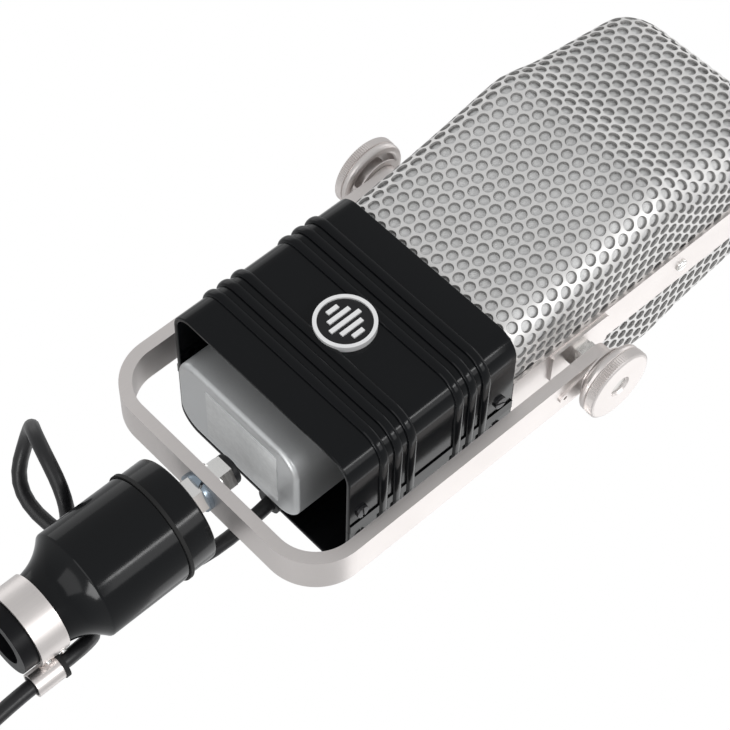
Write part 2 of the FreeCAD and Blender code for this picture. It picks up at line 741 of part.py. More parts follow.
LEAD_ROUTE = [
    (6.0, 24.0, 103.5),
    (8.8, 25.1, 77.9),
    (-3.2, 36.4, 57.4),
    (-28.2, 42.0, 49.3),
    (-56.6, 33.4, 43.3),
    (-61.6, 12.2, 58.0),
    (-47.4, -6.7, 50.3),
    (-24.8, 2.5, 45.3),
    (-27.0, 27.2, 43.0),
    (-16.6, 37.9, 37.1),
    (-1.9, 35.6, 30.8),
    (clip_x, clip_y, 24.8),
    (clip_x, clip_y, -6.5),
]
out_x, out_y = math.cos(clip_angle), math.sin(clip_angle)
TAIL_STATIONS = [(clip_reach, 12.1), (clip_reach, -6.5), (20.0, -31.0), (33.0, -52.0)]
TAIL_STATIONS += [(36.0, -76.0), (36.2, -96.0)]
TAIL_ROUTE = [(reach * out_x, reach * out_y, level) for reach, level in TAIL_STATIONS]


def lead_tube(route, name):
    """A round tube of straight runs joined by tangent arcs."""
    points = [Vector(*p) for p in route]
    edges = []
    start = points[0]
    length = 0.0
    radii = []
    for before, here, after in zip(points, points[1:], points[2:]):
        back = (before - here).normalize()
        ahead = (after - here).normalize()
        turn = math.pi - back.getAngle(ahead)
        shorter = min((before - here).Length, (after - here).Length)
        cut = 0.45 * shorter
        radius = cut / math.tan(turn / 2)
        radii.append(round(radius, 1))
        first, last = here + back * cut, here + ahead * cut
        middle = here + (back + ahead).normalize() * (radius / math.cos(turn / 2) - radius)
        edges.append(Part.makeLine(start, first))
        edges.append(Part.Arc(first, middle, last).toShape())
        length += (first - start).Length + radius * turn
        start = last
    edges.append(Part.makeLine(start, points[-1]))
    length += (points[-1] - start).Length
    along = (points[1] - points[0]).normalize()
    ring = Part.Wire(Part.makeCircle(lead_r, points[0], along))
    tube = Part.Wire(edges).makePipeShell([ring], True, False)
    expected = math.pi * lead_r**2 * length
    ratio = round(tube.Volume / expected, 4)
    print(name, "bend radii", radii, "length", round(length, 1), "volume ratio", ratio)
    return tube


slack = lead_tube(LEAD_ROUTE, "lead_slack")
gland = box(-2, 15, can_y, 22.5, 100.5, 113.0)
gland = gland.makeFillet(1.2, [e for e in gland.Edges if e.BoundBox.ZMax < 100.6])
gland = gland.fuse(Part.makeCylinder(4.6, 14.0, Vector(6, 24, 99.0)))
feature("cable_gland", gland.cut(slack).removeSplitter())
feature("lead_slack", slack.common(box(-90, 90, -90, 90, clip_high + 1.5, 200)))
leads = []
for x, y in ((-36.4, -3.0), (-36.4, 2.0)):
    riser = rod(0.6, (x, y, 104.4), (x, y, 162.0))
    leads.append(riser.fuse(rod(0.5, (x, y, 105.2), (can_x0, y, 105.2))))
solid_group("internal_leads", leads)

# Put-away length: a neat coil outside the clip, its two ties, and the plug hanging from it.
coil_r, coil_s = size("coil_radius"), size("coil_section")
coil_c = Vector(size("coil_reach") * out_x, size("coil_reach") * out_y, size("coil_level"))
side_axis = Vector(-out_y, out_x, 0)
coil = Part.makeTorus(coil_r, coil_s, coil_c, side_axis)
feature("lead_coil", coil)
feature("lead_tail", lead_tube(TAIL_ROUTE, "lead_tail").cut(coil))
outward = Vector(out_x, out_y, 0)
ties = []
for angle in (40, 235):
    spoke = outward * math.cos(math.radians(angle)) + Vector(0, 0, math.sin(math.radians(angle)))
    run = outward * -math.sin(math.radians(angle)) + Vector(0, 0, math.cos(math.radians(angle)))
    centre = coil_c + spoke * coil_r
    tie = Part.makeCylinder(coil_s + 1.2, 7.0, centre - run * 3.5, run)
    ties.append(tie.cut(coil))
solid_group("coil_ties", ties)
drop = coil_c + outward * coil_r
end_top = drop + Vector(0, 0, -4)
end_low = drop + Vector(0, 0, -62)
feature("lead_end", Part.makeCylinder(lead_r, 62.0, end_low, Vector(0, 0, 1)).cut(coil))
plug_top = end_low.z + 6.0


def on_drop(radius, low, high, hole=0.0):
    shape = Part.makeCylinder(radius, high - low, Vector(drop.x, drop.y, low))
    if hole:
        shape = shape.cut(Part.makeCylinder(hole, high - low + 2, Vector(drop.x, drop.y, low - 1)))
    return shape


boot = Part.makeCone(8.6, 4.4, 22.0, Vector(drop.x, drop.y, plug_top), Vector(0, 0, 1))
boot = boot.cut(Part.makeCylinder(lead_r, 60, Vector(drop.x, drop.y, end_low.z - 10)))
feature("plug_boot", boot)
body_top, body_low = plug_top, plug_top - 44.0
plug = on_drop(9.5, body_low, body_top, 8.2)
plug = plug.fuse(on_drop(9.5, body_top - 2.0, body_top, lead_r))
feature("plug_shell", plug.removeSplitter())
insert = on_drop(8.2, body_low + 12.0, body_low + 20.0)
pins = []
for i in range(3):
    angle = math.radians(90 + 120 * i)
    x, y = drop.x + 3.9 * math.cos(angle), drop.y + 3.9 * math.sin(angle)
    pins.append(Part.makeCylinder(1.2, 18.0, Vector(x, y, body_low + 1.5)))
    insert = insert.cut(Part.makeCylinder(1.2, 40.0, Vector(x, y, body_low)))
feature("plug_insert", insert)
solid_group("plug_pins", pins)

# ---------------------------------------------------------------- checks and files
doc.recompute()
for obj in doc.Objects:
    bad = [word for word in obj.State if word in ("Invalid", "Error")]
    if bad:
        raise RuntimeError("%s is %s" % (obj.Label, bad))
for obj in pieces:
    if obj.Shape.isNull() or not obj.Shape.isValid() or not obj.Shape.Solids:
        raise RuntimeError("%s has no sound solid" % obj.Label)
for obj in pieces:
    obj.Shape.exportStep("parts/%s.step" % obj.Label)
print(len(pieces), "pieces")
for obj in pieces:
    b = obj.Shape.BoundBox
    sizes = (obj.Label, len(obj.Shape.Solids), obj.Shape.Volume, b.XMin, b.XMax, b.ZMin, b.ZMax)
    print("%-22s solids %d volume %9.1f x %7.1f %7.1f z %7.1f %7.1f" % sizes)
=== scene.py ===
import json
import math

import bmesh
import bpy
import numpy as np
from mathutils import Matrix, Vector


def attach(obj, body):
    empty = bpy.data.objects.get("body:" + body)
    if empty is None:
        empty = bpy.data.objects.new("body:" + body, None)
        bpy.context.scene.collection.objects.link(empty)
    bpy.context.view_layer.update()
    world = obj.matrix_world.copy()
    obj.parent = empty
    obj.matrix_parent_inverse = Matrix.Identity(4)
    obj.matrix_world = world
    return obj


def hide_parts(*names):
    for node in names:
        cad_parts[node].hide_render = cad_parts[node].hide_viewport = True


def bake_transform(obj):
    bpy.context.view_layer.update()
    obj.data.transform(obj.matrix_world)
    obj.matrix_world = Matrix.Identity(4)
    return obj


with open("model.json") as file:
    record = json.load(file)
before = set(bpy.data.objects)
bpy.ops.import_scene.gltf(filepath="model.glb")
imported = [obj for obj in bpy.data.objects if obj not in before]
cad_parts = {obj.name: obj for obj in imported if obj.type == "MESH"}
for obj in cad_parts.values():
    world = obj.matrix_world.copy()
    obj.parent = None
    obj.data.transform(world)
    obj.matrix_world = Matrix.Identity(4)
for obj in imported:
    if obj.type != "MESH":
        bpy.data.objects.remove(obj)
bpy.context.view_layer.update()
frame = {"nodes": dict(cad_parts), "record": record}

scene = bpy.context.scene
MM = 0.001

# ------------------------------------------------------------------ camera
RIGHT = Vector((0.67972, -0.01573, 0.73330))
DOWN = Vector((0.61156, 0.56411, -0.55477))
AHEAD = Vector((-0.40493, 0.82555, 0.39306))
camera = bpy.data.objects.new("camera", bpy.data.cameras.new("camera"))
scene.collection.objects.link(camera)
turn = Matrix((RIGHT, -DOWN, -AHEAD)).transposed()
camera.matrix_world = Matrix.Translation((0.29261, -0.59705, -0.13809)) @ turn.to_4x4()
camera.data.sensor_width = 36.0
camera.data.lens = 111.87
camera.data.clip_start = 0.01
scene.camera = camera


# ------------------------------------------------------------------ small tools
def new_object(name, verts, faces, smooth_angle=None):
    mesh = bpy.data.meshes.new(name)
    mesh.from_pydata([tuple(v) for v in verts], [], [tuple(int(i) for i in f) for f in faces])
    mesh.validate()
    obj = bpy.data.objects.new(name, mesh)
    scene.collection.objects.link(obj)
    if smooth_angle:
        smooth(obj, smooth_angle)
    return obj


def smooth(obj, degrees):
    mesh = obj.data
    mesh.polygons.foreach_set("use_smooth", [True] * len(mesh.polygons))
    mesh.set_sharp_from_angle(angle=math.radians(degrees))
    mesh.update()


def tube(points, radius, sides=14):
    """Vertices and faces of a round tube that follows the points, with flat ends."""
    pts = np.array(points, float)
    tangents = np.gradient(pts, axis=0)
    tangents /= np.linalg.norm(tangents, axis=1)[:, None]
    normal = np.cross(tangents[0], (0.3, 0.9, 0.1))
    normal /= np.linalg.norm(normal)
    angles = np.arange(sides) * 2 * math.pi / sides
    verts = []
    for point, tangent in zip(pts, tangents):
        normal = normal - tangent * np.dot(normal, tangent)
        normal /= np.linalg.norm(normal)
        side = np.cross(tangent, normal)
        ring = np.outer(np.cos(angles), normal) + np.outer(np.sin(angles), side)
        verts.append(point + ring * radius)
    verts = np.concatenate(verts)
    faces = []
    for i in range(len(pts) - 1):
        for j in range(sides):
            k = (j + 1) % sides
            a, b = i * sides, (i + 1) * sides
            faces.append((a + j, a + k, b + k, b + j))
    faces.append(tuple(range(sides - 1, -1, -1)))
    last = (len(pts) - 1) * sides
    faces.append(tuple(last + j for j in range(sides)))
    return verts, faces


# ------------------------------------------------------------------ the lead
LEAD_D = 0.0051
CLIP = 17.0 / math.sqrt(2)
OUT = np.array((math.sqrt(0.5), math.sqrt(0.5), 0.0))
LEAD_ROUTE = [
    (6.0, 24.0, 103.5),
    (8.8, 25.1, 77.9),
    (-3.2, 36.4, 57.4),
    (-28.2, 42.0, 49.3),
    (-56.6, 33.4, 43.3),
    (-61.6, 12.2, 58.0),
    (-47.4, -6.7, 50.3),
    (-24.8, 2.5, 45.3),
    (-27.0, 27.2, 43.0),
    (-16.6, 37.9, 37.1),
    (-1.9, 35.6, 30.8),
    (CLIP, CLIP, 24.8),
    (CLIP, CLIP, -6.5),
]
for reach, level in [(20.0, -31.0), (33.0, -52.0), (36.0, -76.0)]:
    LEAD_ROUTE.append((reach * OUT[0], reach * OUT[1], level))
COIL = np.array((66.0 * OUT[0], 66.0 * OUT[1], -108.0))
COIL_R = 30.0
SIDE = np.array((-OUT[1], OUT[0], 0.0))
TURNS = [(-2.7, -8.1), (2.7, -8.1), (5.4, -2.7), (0.0, -2.7), (-5.4, -2.7)]
TURNS += [(-5.4, 2.7), (0.0, 2.7), (5.4, 2.7), (2.7, 8.1), (-2.7, 8.1)]
STEPS = 16


def coil_points():
    """Control points of a neat coil: each turn shifts to the next place in its last quarter."""
    points = []
    for number, (u, v) in enumerate(TURNS):
        after = TURNS[min(number + 1, len(TURNS) - 1)]
        steps = STEPS if number + 1 < len(TURNS) else 7
        for step in range(steps):
            part = step / STEPS
            shift = min(1.0, max(0.0, (part - 0.72) / 0.28))
            shift = shift * shift * (3 - 2 * shift)
            radial = u + (after[0] - u) * shift + 0.12 * math.sin(7 * part + number)
            across = v + (after[1] - v) * shift
            angle = math.radians(170) + 2 * math.pi * part
            spoke = OUT * math.cos(angle) + np.array((0, 0, math.sin(angle)))
            points.append(tuple(COIL + spoke * (COIL_R + radial) + SIDE * across))
    return points


route = LEAD_ROUTE + coil_points()
LEAD_END = [(84.0, -137.5, 6.0), (94.5, -141.0, 2.0), (96.0, -155.0, 0.0), (96.0, -170.0, 0.0)]
for reach, level, across in LEAD_END:
    route.append(tuple(OUT * reach + SIDE * across + np.array((0, 0, level))))
line = bpy.data.curves.new("lead_line", "CURVE")
line.dimensions = "3D"
line.resolution_u = 6
spline = line.splines.new("NURBS")
spline.points.add(len(route) - 1)
for knot, (x, y, z) in zip(spline.points, route):
    knot.co = (x * MM, y * MM, z * MM, 1.0)
spline.order_u = 3
spline.use_endpoint_u = True
line_object = bpy.data.objects.new("lead_line", line)
scene.collection.objects.link(line_object)
bpy.context.view_layer.update()
line_mesh = bpy.data.meshes.new_from_object(line_object)
lead_path = [tuple(v.co) for v in line_mesh.vertices]
bpy.data.meshes.remove(line_mesh)
bpy.data.objects.remove(line_object)
bpy.data.curves.remove(line)
lead = new_object("lead", *tube(lead_path, LEAD_D / 2), smooth_angle=60)
lead_length = float(np.linalg.norm(np.diff(np.array(lead_path), axis=0), axis=1).sum())
print("lead length", round(lead_length, 4))
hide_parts("lead_slack", "lead_tail", "lead_coil", "lead_end")
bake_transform(lead)


# ------------------------------------------------------------------ materials
def make_material(name, colour, metallic, rough, **look):
    """A node material: two-scale colour variation, roughness variation and fine bump."""
    material = bpy.data.materials.new(name)
    material.use_nodes = True
    tree = material.node_tree
    nodes, links = tree.nodes, tree.links
    shader = nodes["Principled BSDF"]
    shader.inputs["Metallic"].default_value = metallic
    shader.inputs["Coat Weight"].default_value = look.get("coat", 0.0)
    shader.inputs["Coat Roughness"].default_value = look.get("coat_rough", 0.05)
    shader.inputs["Specular IOR Level"].default_value = look.get("specular", 0.5)
    where = nodes.new("ShaderNodeTexCoord")
    stretch = nodes.new("ShaderNodeMapping")
    stretch.inputs["Scale"].default_value = look.get("grain", (1, 1, 1))
    links.new(where.outputs["Object"], stretch.inputs["Vector"])
    fine = nodes.new("ShaderNodeTexNoise")
    fine.inputs["Scale"].default_value = look.get("fine", 900.0)
    fine.inputs["Detail"].default_value = 4.0
    links.new(stretch.outputs["Vector"], fine.inputs["Vector"])
    broad = nodes.new("ShaderNodeTexNoise")
    broad.inputs["Scale"].default_value = look.get("broad", 45.0)
    broad.inputs["Detail"].default_value = 3.0
    links.new(where.outputs["Object"], broad.inputs["Vector"])
    tone = nodes.new("ShaderNodeMix")
    tone.data_type = "RGBA"
    spread = look.get("spread", 0.12)
    tone.inputs[6].default_value = (*[c * (1 - spread) for c in colour], 1)
    tone.inputs[7].default_value = (*[min(1, c * (1 + spread)) for c in colour], 1)
    blend = nodes.new("ShaderNodeMath")
    blend.operation = "MULTIPLY_ADD"
    blend.inputs[1].default_value = 0.5
    half = nodes.new("ShaderNodeMath")
    half.operation = "MULTIPLY"
    half.inputs[1].default_value = 0.5
    links.new(broad.outputs["Fac"], half.inputs[0])
    links.new(fine.outputs["Fac"], blend.inputs[0])
    links.new(half.outputs["Value"], blend.inputs[2])
    links.new(blend.outputs["Value"], tone.inputs["Factor"])
    links.new(tone.outputs[2], shader.inputs["Base Color"])
    gloss = nodes.new("ShaderNodeMapRange")
    gloss.inputs["From Min"].default_value = 0.3
    gloss.inputs["From Max"].default_value = 0.7
    vary = look.get("vary", 0.06)
    gloss.inputs["To Min"].default_value = max(0.02, rough - vary)
    gloss.inputs["To Max"].default_value = min(1.0, rough + vary)
    links.new(blend.outputs["Value"], gloss.inputs["Value"])
    links.new(gloss.outputs["Result"], shader.inputs["Roughness"])
    bump = nodes.new("ShaderNodeBump")
    bump.inputs["Strength"].default_value = look.get("bump", 0.08)
    bump.inputs["Distance"].default_value = look.get("depth", 0.0001)
    links.new(fine.outputs["Fac"], bump.inputs["Height"])
    links.new(bump.outputs["Normal"], shader.inputs["Normal"])
    return material


ALONG_Z = (1.0, 1.0, 0.04)
ROUND_Z = (0.05, 0.05, 1.0)
MATERIALS = {
    "black_enamel": make_material(
        "black_enamel", (0.0035, 0.004, 0.0048), 0.0, 0.15,
        fine=420, broad=30, vary=0.04, bump=0.03, specular=0.17
    ),
    "black_metal": make_material(
        "black_metal", (0.0032, 0.0037, 0.0044), 0.0, 0.14,
        fine=500, broad=35, vary=0.03, bump=0.03, specular=0.22
    ),
    "satin_nickel": make_material(
        "satin_nickel", (0.74, 0.70, 0.682), 1.0, 0.40, grain=ALONG_Z, fine=2600, spread=0.07, bump=0.10
    ),
    "bright_nickel": make_material(
        "bright_nickel", (0.88, 0.87, 0.85), 1.0, 0.20, grain=ROUND_Z, fine=1800, spread=0.06, bump=0.06
    ),
    "grille_metal": make_material(
        "grille_metal", (0.72, 0.71, 0.70), 0.7, 0.52, fine=1400, spread=0.10, bump=0.10
    ),
    "screen_mesh": make_material(
        "screen_mesh", (0.84, 0.835, 0.82), 0.25, 0.55, fine=2600, spread=0.42, bump=0.8, depth=0.0003
    ),
    "blued_steel": make_material(
        "blued_steel", (0.30, 0.36, 0.42), 1.0, 0.28, grain=ROUND_Z, fine=1500, spread=0.2, bump=0.08
    ),
    "machined_steel": make_material(
        "machined_steel", (0.58, 0.57, 0.55), 1.0, 0.30, grain=ROUND_Z, fine=2200, spread=0.12, bump=0.12
    ),
    "magnet_alloy": make_material(
        "magnet_alloy", (0.14, 0.14, 0.145), 0.7, 0.55, fine=700, spread=0.3, bump=0.35, depth=0.0003
    ),
    "laminations": make_material(
        "laminations", (0.20, 0.20, 0.21), 0.8, 0.45, grain=(1, 20, 1), fine=300, spread=0.4, bump=0.4
    ),
    "brass_metal": make_material(
        "brass_metal", (0.72, 0.55, 0.27), 1.0, 0.30, grain=ALONG_Z, fine=1600, spread=0.12, bump=0.10
    ),
    "copper_wire": make_material(
        "copper_wire", (0.60, 0.27, 0.13), 0.9, 0.36, grain=(0.1, 0.1, 6), fine=500, spread=0.3, bump=0.5
    ),
    "ribbon_foil": make_material(
        "ribbon_foil", (0.86, 0.87, 0.88), 1.0, 0.22, grain=(0.02, 1, 3), fine=600, spread=0.05, bump=0.6
    ),
    "cushion_rubber": make_material(
        "cushion_rubber", (0.012, 0.012, 0.012), 0.0, 0.62, fine=900, spread=0.25, bump=0.25, specular=0.25
    ),
    "can_metal": make_material(
        "can_metal", (0.60, 0.61, 0.615), 0.65, 0.42, fine=1300, spread=0.10, bump=0.22
    ),
    "label_stock": make_material(
        "label_stock", (0.66, 0.67, 0.67), 0.15, 0.45, fine=700, broad=220, spread=0.28, bump=0.3
    ),
    "black_plastic": make_material(
        "black_plastic", (0.012, 0.012, 0.013), 0.0, 0.45, fine=1200, spread=0.25, bump=0.22, specular=0.3
    ),
    "badge_black": make_material(
        "badge_black", (0.008, 0.008, 0.009), 0.0, 0.20, fine=600, spread=0.2, bump=0.05, specular=0.3
    ),
    "lead_jacket": make_material(
        "lead_jacket", (0.010, 0.010, 0.011), 0.0, 0.36, fine=1000, spread=0.25, bump=0.18, specular=0.40
    ),
}
BADGE_CHROME = make_material(
    "badge_chrome", (0.93, 0.93, 0.93), 0.55, 0.34, fine=1500, spread=0.05, bump=0.05
)
# painted shade: a dark colour on the hole collars and hole walls stands in for the shadow between the sheet
# and the screen behind it
GRILLE_HOLE_SHADE = make_material(
    "grille_hole_painted_shade", (0.27, 0.265, 0.26), 0.5, 0.5, fine=1400, spread=0.15, bump=0.10
)
DARK_SCREW = make_material(
    "dark_screw", (0.11, 0.11, 0.115), 0.9, 0.34, fine=1500, spread=0.15, bump=0.10
)
SOCKET_BLACK = make_material(
    "socket_black", (0.006, 0.006, 0.007), 0.0, 0.34, fine=700, spread=0.25, bump=0.08, specular=0.12
)
NODE_LOOKS = {
    "neck_band": MATERIALS["satin_nickel"],
    "badge_rim": BADGE_CHROME,
    "badge_bars": BADGE_CHROME,
    "stand_socket": SOCKET_BLACK,
    "shell_screws": DARK_SCREW,
}
slot_of = {item["node"]: item["material_slot"] for item in frame["record"]["subparts"]}
for node, obj in frame["nodes"].items():
    look = NODE_LOOKS.get(node, MATERIALS[slot_of[node]])
    obj.data.materials.clear()
    obj.data.materials.append(look)
lead.data.materials.append(MATERIALS["lead_jacket"])


def settle(obj, slot, node, body):
    """Give a finished skin the material of its slot, hide the CAD node it stands for, and attach it to its
    body.
    """
    obj.data.materials.append(MATERIALS[slot])
    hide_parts(node)
    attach(obj, body)


# ------------------------------------------------------------------ turned mount pieces
def turned(name, profile, steps=160):
    """A closed profile of radius and level, turned about Z."""
    angles = np.arange(steps) * 2 * math.pi / steps
    verts = [(r * math.cos(a) * MM, r * math.sin(a) * MM, z * MM) for r, z in profile for a in angles]
    faces = []
    for i in range(len(profile)):
        k = (i + 1) % len(profile)
        for j in range(steps):
            n = (j + 1) % steps
            faces.append((i * steps + j, i * steps + n, k * steps + n, k * steps + j))
    return new_object(name, verts, faces, smooth_angle=32)


FLARE = [(12.2, 15.6), (12.6, 17.6), (13.2, 19.8), (14.0, 21.8), (15.0, 23.6), (16.2, 25.2), (17.5, 26.8)]
FLARE_STEPS = 30
levels = np.linspace(15.6, 27.9, FLARE_STEPS)
knots = np.array(FLARE + [(18.72, 27.95)])
bend = np.polyfit(knots[:, 1], knots[:, 0], 4)
BARREL = [(10.4, 5.2), (12.2, 5.2)]
BARREL += [(max(12.2, float(np.polyval(bend, z))), float(z)) for z in levels]
BARREL += [(18.7, 28.05), (18.8, 28.3), (18.8, 56.8), (18.6, 57.0), (16.4, 57.0), (16.4, 33.0)]
BARREL += [(7.0, 33.0), (7.0, 24.0), (10.4, 24.0)]
settle(turned("barrel_skin", BARREL), "black_metal", "mount_barrel", "mount")
CAP = [(5.4, 58.2), (18.3, 58.2), (18.5, 58.4), (18.5, 66.9), (18.35, 67.5), (17.9, 67.9), (17.4, 68.0)]
CAP += [(5.6, 68.0), (5.4, 67.8)]
settle(turned("cap_skin", CAP), "black_metal", "mount_cap", "mount")


# ------------------------------------------------------------------ black shell halves
SHELL_X, SHELL_Y, SHELL_R, SHELL_LOW, SHELL_HIGH = 40.35, 30.95, 8.5, 101.9, 171.9
RIBS = [115.8, 121.5, 127.2, 147.0, 152.7, 158.4]
RIM = 0.45


def shell_section():
    """Offset from the shell's outside against level, once round the wall."""
    section = [(-1.6, SHELL_LOW + RIM)]
    for step in range(5):
        turn = math.radians(180 + 22.5 * step)
        section.append((-1.6 + RIM + RIM * math.cos(turn), SHELL_LOW + RIM + RIM * math.sin(turn)))
    for step in range(5):
        turn = math.radians(270 + 22.5 * step)
        section.append((-RIM + RIM * math.cos(turn), SHELL_LOW + RIM + RIM * math.sin(turn)))
    for level in RIBS:
        section.append((0.0, level - 1.95))
        for step in range(13):
            turn = math.radians(-90 + 15 * step)
            rise = 1.2 * math.cos(turn) ** 0.7 if abs(turn) < 1.57 else 0.0
            section.append((rise, level + 1.75 * math.sin(turn)))
        section.append((0.0, level + 1.95))
    for step in range(5):
        turn = math.radians(22.5 * step)
        section.append((-RIM + RIM * math.cos(turn), SHELL_HIGH - RIM + RIM * math.sin(turn)))
    section.append((-1.6, SHELL_HIGH))
    return section


def shell_half(name, seam, facing):
    """The section carried round one half of the rounded rectangle, with its ends closed."""
    section = shell_section()
    rings = []
    arc = [math.radians(6 * step) for step in range(16)]
    for offset, level in section:
        x, y, r = SHELL_X + offset, SHELL_Y + offset, SHELL_R + offset
        ring = [(x, seam)]
        ring += [(x - r + r * math.cos(t), facing * (y - r + r * math.sin(t))) for t in arc]
        ring += [(-(x - r) - r * math.sin(t), facing * (y - r + r * math.cos(t))) for t in arc]
        ring.append((-x, seam))
        rings.append([(px * MM, py * MM, level * MM) for px, py in ring])
    across = len(rings[0])
    verts = [point for ring in rings for point in ring]
    faces = []
    for i in range(len(rings)):
        k = (i + 1) % len(rings)
        for j in range(across - 1):
            quad = (i * across + j, i * across + j + 1, k * across + j + 1, k * across + j)
            faces.append(quad if facing > 0 else quad[::-1])
    ends = [tuple(i * across + j for i in range(len(rings))) for j in (0, across - 1)]
    faces.append(ends[0][::-1] if facing > 0 else ends[0])
    faces.append(ends[1] if facing > 0 else ends[1][::-1])
    if facing > 0:
        for side in (-1, 1):
            x0, x1 = sorted((side * (SHELL_X - 0.6), side * (SHELL_X + 0.5)))
            base = len(verts)
            for z in (SHELL_LOW + 0.3, SHELL_HIGH - 0.3):
                for x, y in ((x0, 0.0), (x1, 0.0), (x1, 4.1), (x0, 4.1)):
                    verts.append((x * MM, y * MM, z * MM))
            for quad in ((0, 3, 2, 1), (4, 5, 6, 7), (0, 1, 5, 4), (1, 2, 6, 5), (2, 3, 7, 6), (3, 0, 4, 7)):
                faces.append(tuple(base + i for i in quad))
    return new_object(name, verts, faces, smooth_angle=38)


settle(shell_half("shell_front_skin", 3.9, -1), "black_enamel", "shell_front", "head")
settle(shell_half("shell_rear_skin", 4.1, 1), "black_enamel", "shell_rear", "head")


# ------------------------------------------------------------------ perforated grille
PITCH = 4.92
ROW = PITCH * math.sqrt(3) / 2
HOLE = 2.0
COLLAR = 1.74
COLLAR_DEPTH = 0.5
RIM_POINTS = 18
SHEET = 0.9
HALF_X, CORNER, TOP_R, SHOULDER_Z = 39.1, 12.0, 11.0, 292.8
PROFILE = [
    (166.0, 29.15),
    (172.0, 29.2),
    (186.0, 30.9),
    (200.0, 33.0),
    (214.0, 35.6),
    (226.0, 38.2),
    (235.0, 40.1),
    (240.0, 40.6),
    (245.0, 39.6),
    (256.0, 36.0),
    (272.0, 33.2),
    (SHOULDER_Z, 29.6),
]
LEAN = [(0.0, 0.0), (22.5, 0.9), (45.0, 2.4), (67.5, 4.2), (90.0, 7.0)]


def rise_table():
    """Distance up the front against level, half width and half depth, over the shoulder."""
    rows = [(z, HALF_X if z > 172.5 else HALF_X - 0.5, y) for z, y in PROFILE]
    for step in range(1, 13):
        angle = math.radians(7.5 * step)
        back = np.interp(7.5 * step, [a for a, _ in LEAN], [b for _, b in LEAN])
        width = HALF_X - TOP_R + TOP_R * math.cos(angle)
        rows.append((SHOULDER_Z + TOP_R * math.sin(angle), width, PROFILE[-1][1] - back))
    rows = np.array(rows)
    gaps = np.hypot(np.diff(rows[:, 0]), np.diff(rows[:, 2]))
    gaps[-12:] = TOP_R * math.radians(7.5)
    return np.concatenate([[0.0], np.cumsum(gaps)]), rows


RISE, LEVELS = rise_table()


def wall_point(u, v):
    """The front half's outside at distance u round from the middle and v up from the foot."""
    z = np.interp(v, RISE, LEVELS[:, 0])
    half_x = np.interp(v, RISE, LEVELS[:, 1])
    half_y = np.interp(v, RISE, LEVELS[:, 2])
    side = np.sign(u)
    squeeze = (half_x - CORNER) / (HALF_X - CORNER)
    u = np.abs(u)
    flat = HALF_X - CORNER
    arc = CORNER * math.pi / 2
    angle = np.clip((u - flat) / CORNER, 0, math.pi / 2)
    x = np.where(u < flat, u * squeeze, half_x - CORNER + CORNER * np.sin(angle))
    y = -(half_y - CORNER) - CORNER * np.cos(angle) + np.maximum(0, u - flat - arc)
    return np.stack([side * x, y, z], axis=-1)


def top_level(x, y):
    """The outside's level above a point of the plan, found by halving."""
    low, high = np.zeros_like(x), np.full_like(x, 90.0)
    for _ in range(24):
        middle = (low + high) / 2
        back = np.interp(middle, [a for a, _ in LEAN], [b for _, b in LEAN])
        half_x = HALF_X - TOP_R + TOP_R * np.cos(np.radians(middle))
        half_y = PROFILE[-1][1] - back
        dx = np.maximum(np.abs(x) - (half_x - CORNER), 0)
        dy = np.maximum(np.abs(y) - (half_y - CORNER), 0)
        inside = np.hypot(dx, dy) < CORNER
        low = np.where(inside, middle, low)
        high = np.where(inside, high, middle)
    return SHOULDER_Z + TOP_R * np.sin(np.radians(low))


def cell_outline():
    """One cell of the lattice: points round its six sides, and round its hole."""
    reach = PITCH / math.sqrt(3)
    edge, hole = [], []
    per_side = RIM_POINTS // 6
    for i in range(RIM_POINTS):
        corner, part = divmod(i, per_side)
        a, b = math.radians(90 + 60 * corner), math.radians(150 + 60 * corner)
        t = part / per_side
        x = reach * (math.cos(a) * (1 - t) + math.cos(b) * t)
        y = reach * (math.sin(a) * (1 - t) + math.sin(b) * t)
        edge.append((x, y))
        angle = math.atan2(y, x)
        hole.append((HOLE * math.cos(angle), HOLE * math.sin(angle)))
    return np.array(edge), np.array(hole)


def lattice(centres):
    """Flat perforated sheet from cell centres: points, and quads of web and collar in turn."""
    edge, hole = cell_outline()
    rims = (centres[:, None, :] + edge[None]).reshape(-1, 2)
    keys, index = np.unique(np.round(rims, 4), axis=0, return_inverse=True)
    index = index.reshape(len(centres), RIM_POINTS)
    holes = (centres[:, None, :] + hole[None]).reshape(-1, 2)
    collars = (centres[:, None, :] + hole[None] * (COLLAR / HOLE)).reshape(-1, 2)
    first, count = len(keys), len(holes)
    faces = []
    for c in range(len(centres)):
        base = first + c * RIM_POINTS
        for i in range(RIM_POINTS):
            k = (i + 1) % RIM_POINTS
            faces.append((index[c, i], index[c, k], base + k, base + i))
            faces.append((base + i, base + k, base + k + count, base + i + count))
    return np.concatenate([keys, holes, collars]), np.array(faces)


def clipped(points, faces, normal):
    """The sheet cut at the shoulder's middle, keeping the side the normal points away from."""
    bm = bmesh.new()
    verts = [bm.verts.new(p) for p in points]
    for number, face in enumerate(faces):
        # collar faces are marked 1 here; they take the dark painted shade round each hole
        bm.faces.new([verts[i] for i in face]).material_index = number % 2
    geometry = bm.verts[:] + bm.edges[:] + bm.faces[:]
    cut = Vector((0, 0, SHOULDER_Z + TOP_R * math.sin(math.radians(45))))
    bmesh.ops.bisect_plane(bm, geom=geometry, plane_co=cut, plane_no=normal, clear_outer=True)
    bm.verts.index_update()
    points = np.array([v.co[:] for v in bm.verts])
    faces = [[v.index for v in f.verts] for f in bm.faces]
    marks = [f.material_index for f in bm.faces]
    bm.free()
    return points, faces, marks


